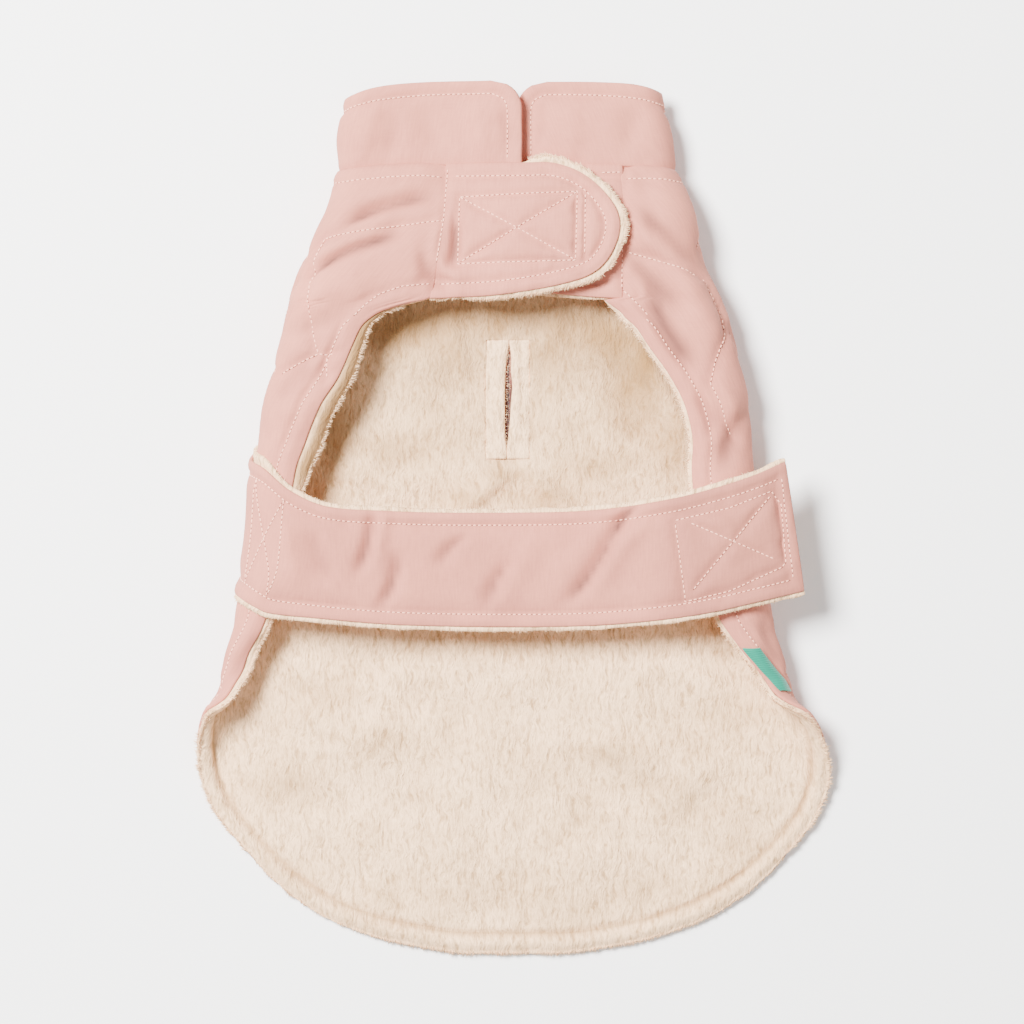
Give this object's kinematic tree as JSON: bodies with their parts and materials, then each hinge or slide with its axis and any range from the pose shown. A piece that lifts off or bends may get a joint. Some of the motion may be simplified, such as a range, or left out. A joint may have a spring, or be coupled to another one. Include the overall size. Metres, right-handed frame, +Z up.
{
  "type": "dog winter coat",
  "caption": "Quilted winter coat for a dog: plush-lined back panel that wraps the sides, stand collar, overlapped chest tabs and a belly strap, laid flat on its back",
  "frame": {"origin": "on the table under the middle of the coat's bounding box, with the coat lying on its back and fastened", "axes": "+Y runs from the rounded tail hem to the collar, +X to the wearer's left as seen from above the belly, +Z up off the table"},
  "size_m": [0.3174, 0.4368, 0.0402],
  "materials": {
    "pink_quilted_cloth": "matte plain-weave polyester, lightly quilted",
    "cream_plush": "short-pile plush, brushed",
    "pink_collar_cloth": "matte plain-weave polyester over padding",
    "hook_tape": "woven hook-and-loop tape",
    "mint_ribbon": "plain woven ribbon, blank"
  },
  "bodies": {
    "root": {"body_shell": "pink_quilted_cloth", "body_lining": "cream_plush", "leash_welt_left": "cream_plush", "leash_welt_right": "cream_plush", "left_tab_shell": "pink_quilted_cloth", "left_tab_lining": "cream_plush", "right_tab_shell": "pink_quilted_cloth", "right_tab_lining": "cream_plush", "tab_hook_tape": "hook_tape", "tab_loop_tape": "hook_tape", "collar": "pink_collar_cloth", "strap_shell": "pink_quilted_cloth", "strap_lining": "cream_plush", "strap_hook_tape": "hook_tape", "side_label": "mint_ribbon"}
  },
  "joints": []
}
